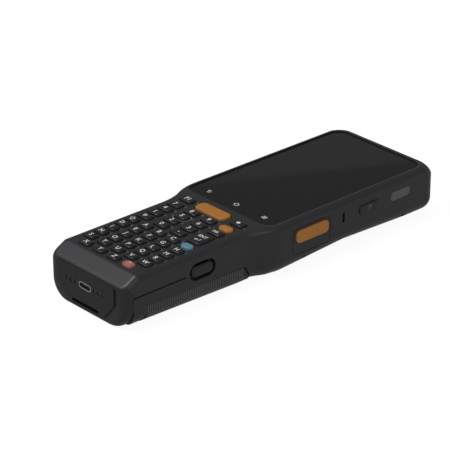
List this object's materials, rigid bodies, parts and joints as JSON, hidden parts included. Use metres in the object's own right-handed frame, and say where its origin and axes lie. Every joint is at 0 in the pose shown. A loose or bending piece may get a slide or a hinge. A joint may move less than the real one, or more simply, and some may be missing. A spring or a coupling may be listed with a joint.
{
  "type": "portable barcode data terminal",
  "caption": "Handheld barcode terminal: a wide screen head narrowing to a keypad grip, side scan keys, removable battery and a scan window in the head's end.",
  "frame": {"origin": "bottom centre of the bounding box, on the plane the terminal rests on", "axes": "+X to the user's right, +Y along the terminal to its scanner end, +Z out of the screen, which faces up"},
  "size_m": [0.072, 0.2118, 0.0295],
  "materials": {
    "housing": "fine moulded texture, matt near-black polycarbonate",
    "housing_back": "fine moulded texture, matt near-black",
    "end_cap": "matt near-black, slightly rubbery",
    "screen_glass": "polished black cover glass over an unlit screen",
    "gasket": "matt black",
    "display": "unlit panel",
    "silicone": "matt silicone",
    "circuit_board": "green solder mask",
    "key_black": "satin black key with a white legend",
    "key_orange": "satin orange plastic",
    "key_blue": "satin blue plastic",
    "key_red": "satin red plastic",
    "inset_grey": "satin dark grey",
    "socket_steel": "plated steel",
    "contact_gold": "gold plated",
    "window_dark": "deep red-black scan window",
    "lens_glass": "black camera window",
    "module_black": "black moulding",
    "screw_steel": "blackened steel",
    "battery_cell": "foil wrapped cell",
    "battery_case": "matt near-black, finely ribbed sides"
  },
  "bodies": {
    "terminal": {"front_housing": "housing", "back_housing": "housing_back", "end_cap": "end_cap", "end_plate": "end_cap", "screen_glass": "screen_glass", "screen_gasket": "gasket", "display_panel": "display", "keypad_mat": "silicone", "keypad_board": "circuit_board", "main_board": "circuit_board", "usb_c_shell": "socket_steel", "usb_c_tongue": "module_black", "charging_contacts": "contact_gold", "right_key_panel": "housing", "left_key_panel": "housing", "side_inset": "inset_grey", "scanner_bezel": "end_cap", "scan_window": "window_dark", "scan_engine": "module_black", "camera_window": "lens_glass", "camera_module": "module_black", "speaker": "module_black", "housing_screws": "screw_steel", "battery_contacts": "contact_gold"},
    "keys_a_to_c": {"keys_a_to_c": "key_black"},
    "keys_d_to_h": {"keys_d_to_h": "key_black"},
    "keys_i_to_m": {"keys_i_to_m": "key_black"},
    "keys_n_to_r": {"keys_n_to_r": "key_black"},
    "keys_s_to_w": {"keys_s_to_w": "key_black"},
    "keys_x_to_z": {"keys_x_to_z": "key_black"},
    "key_shift": {"key_shift": "key_black"},
    "key_red": {"key_red": "key_red"},
    "key_blue": {"key_blue": "key_blue"},
    "key_1": {"key_1": "key_black"},
    "key_2": {"key_2": "key_black"},
    "key_3": {"key_3": "key_black"},
    "key_4": {"key_4": "key_black"},
    "key_5": {"key_5": "key_black"},
    "key_6": {"key_6": "key_black"},
    "key_7": {"key_7": "key_black"},
    "key_8": {"key_8": "key_black"},
    "key_9": {"key_9": "key_black"},
    "key_star": {"key_star": "key_black"},
    "key_0": {"key_0": "key_black"},
    "key_point": {"key_point": "key_black"},
    "key_word": {"key_word": "key_black"},
    "key_orange": {"key_orange": "key_orange"},
    "key_enter": {"key_enter": "key_black"},
    "key_program": {"key_program": "key_black"},
    "key_menu": {"key_menu": "key_black"},
    "key_scan": {"key_scan": "key_orange"},
    "battery": {"battery_case": "battery_case", "battery_cell": "battery_cell"},
    "right_latch": {"right_latch": "key_black"},
    "left_latch": {"left_latch": "key_black"},
    "right_scan_key": {"right_scan_key": "key_orange"},
    "left_scan_key": {"left_scan_key": "key_orange"},
    "power_key": {"power_key": "key_black"},
    "volume_up_key": {"volume_up_key": "key_black"},
    "volume_down_key": {"volume_down_key": "key_black"}
  },
  "joints": [
    {"name": "keys_a_to_c_press", "type": "slide", "parent": "terminal", "child": "keys_a_to_c", "axis": [0, 0, -1], "range_m": [0, 0.0006], "stiffness_N_per_m": 1500},
    {"name": "keys_d_to_h_press", "type": "slide", "parent": "terminal", "child": "keys_d_to_h", "axis": [0, 0, -1], "range_m": [0, 0.0006], "stiffness_N_per_m": 1500},
    {"name": "keys_i_to_m_press", "type": "slide", "parent": "terminal", "child": "keys_i_to_m", "axis": [0, 0, -1], "range_m": [0, 0.0006], "stiffness_N_per_m": 1500},
    {"name": "keys_n_to_r_press", "type": "slide", "parent": "terminal", "child": "keys_n_to_r", "axis": [0, 0, -1], "range_m": [0, 0.0006], "stiffness_N_per_m": 1500},
    {"name": "keys_s_to_w_press", "type": "slide", "parent": "terminal", "child": "keys_s_to_w", "axis": [0, 0, -1], "range_m": [0, 0.0006], "stiffness_N_per_m": 1500},
    {"name": "keys_x_to_z_press", "type": "slide", "parent": "terminal", "child": "keys_x_to_z", "axis": [0, 0, -1], "range_m": [0, 0.0006], "stiffness_N_per_m": 1500},
    {"name": "key_shift_press", "type": "slide", "parent": "terminal", "child": "key_shift", "axis": [0, 0, -1], "range_m": [0, 0.0006], "stiffness_N_per_m": 1500},
    {"name": "key_red_press", "type": "slide", "parent": "terminal", "child": "key_red", "axis": [0, 0, -1], "range_m": [0, 0.0006], "stiffness_N_per_m": 1500},
    {"name": "key_blue_press", "type": "slide", "parent": "terminal", "child": "key_blue", "axis": [0, 0, -1], "range_m": [0, 0.0006], "stiffness_N_per_m": 1500},
    {"name": "key_1_press", "type": "slide", "parent": "terminal", "child": "key_1", "axis": [0, 0, -1], "range_m": [0, 0.0006], "stiffness_N_per_m": 1500},
    {"name": "key_2_press", "type": "slide", "parent": "terminal", "child": "key_2", "axis": [0, 0, -1], "range_m": [0, 0.0006], "stiffness_N_per_m": 1500},
    {"name": "key_3_press", "type": "slide", "parent": "terminal", "child": "key_3", "axis": [0, 0, -1], "range_m": [0, 0.0006], "stiffness_N_per_m": 1500},
    {"name": "key_4_press", "type": "slide", "parent": "terminal", "child": "key_4", "axis": [0, 0, -1], "range_m": [0, 0.0006], "stiffness_N_per_m": 1500},
    {"name": "key_5_press", "type": "slide", "parent": "terminal", "child": "key_5", "axis": [0, 0, -1], "range_m": [0, 0.0006], "stiffness_N_per_m": 1500},
    {"name": "key_6_press", "type": "slide", "parent": "terminal", "child": "key_6", "axis": [0, 0, -1], "range_m": [0, 0.0006], "stiffness_N_per_m": 1500},
    {"name": "key_7_press", "type": "slide", "parent": "terminal", "child": "key_7", "axis": [0, 0, -1], "range_m": [0, 0.0006], "stiffness_N_per_m": 1500},
    {"name": "key_8_press", "type": "slide", "parent": "terminal", "child": "key_8", "axis": [0, 0, -1], "range_m": [0, 0.0006], "stiffness_N_per_m": 1500},
    {"name": "key_9_press", "type": "slide", "parent": "terminal", "child": "key_9", "axis": [0, 0, -1], "range_m": [0, 0.0006], "stiffness_N_per_m": 1500},
    {"name": "key_star_press", "type": "slide", "parent": "terminal", "child": "key_star", "axis": [0, 0, -1], "range_m": [0, 0.0006], "stiffness_N_per_m": 1500},
    {"name": "key_0_press", "type": "slide", "parent": "terminal", "child": "key_0", "axis": [0, 0, -1], "range_m": [0, 0.0006], "stiffness_N_per_m": 1500},
    {"name": "key_point_press", "type": "slide", "parent": "terminal", "child": "key_point", "axis": [0, 0, -1], "range_m": [0, 0.0006], "stiffness_N_per_m": 1500},
    {"name": "key_word_press", "type": "slide", "parent": "terminal", "child": "key_word", "axis": [0, 0, -1], "range_m": [0, 0.0006], "stiffness_N_per_m": 1500},
    {"name": "key_orange_press", "type": "slide", "parent": "terminal", "child": "key_orange", "axis": [0, 0, -1], "range_m": [0, 0.0006], "stiffness_N_per_m": 1500},
    {"name": "key_enter_press", "type": "slide", "parent": "terminal", "child": "key_enter", "axis": [0, 0, -1], "range_m": [0, 0.0006], "stiffness_N_per_m": 1500},
    {"name": "key_program_press", "type": "slide", "parent": "terminal", "child": "key_program", "axis": [0, 0, -1], "range_m": [0, 0.0006], "stiffness_N_per_m": 1500},
    {"name": "key_menu_press", "type": "slide", "parent": "terminal", "child": "key_menu", "axis": [0, 0, -1], "range_m": [0, 0.0006], "stiffness_N_per_m": 1500},
    {"name": "key_scan_press", "type": "slide", "parent": "terminal", "child": "key_scan", "axis": [0, 0, -1], "range_m": [0, 0.0006], "stiffness_N_per_m": 1500},
    {"name": "right_scan_key_press", "type": "slide", "parent": "terminal", "child": "right_scan_key", "axis": [-1, 0, 0], "range_m": [0, 0.0008], "stiffness_N_per_m": 2000},
    {"name": "left_scan_key_press", "type": "slide", "parent": "terminal", "child": "left_scan_key", "axis": [1, 0, 0], "range_m": [0, 0.0008], "stiffness_N_per_m": 2000},
    {"name": "power_key_press", "type": "slide", "parent": "terminal", "child": "power_key", "axis": [-1, 0, 0], "range_m": [0, 0.0008], "stiffness_N_per_m": 2000},
    {"name": "volume_up_key_press", "type": "slide", "parent": "terminal", "child": "volume_up_key", "axis": [1, 0, 0], "range_m": [0, 0.0008], "stiffness_N_per_m": 2000},
    {"name": "volume_down_key_press", "type": "slide", "parent": "terminal", "child": "volume_down_key", "axis": [1, 0, 0], "range_m": [0, 0.0008], "stiffness_N_per_m": 2000},
    {"name": "right_latch_press", "type": "slide", "parent": "terminal", "child": "right_latch", "axis": [-1, 0, 0], "range_m": [0, 0.0012], "stiffness_N_per_m": 1500},
    {"name": "left_latch_press", "type": "slide", "parent": "terminal", "child": "left_latch", "axis": [1, 0, 0], "range_m": [0, 0.0012], "stiffness_N_per_m": 1500},
    {"name": "battery_release", "type": "slide", "parent": "terminal", "child": "battery", "axis": [0, 0, -1], "range_m": [0, 0.02]}
  ]
}
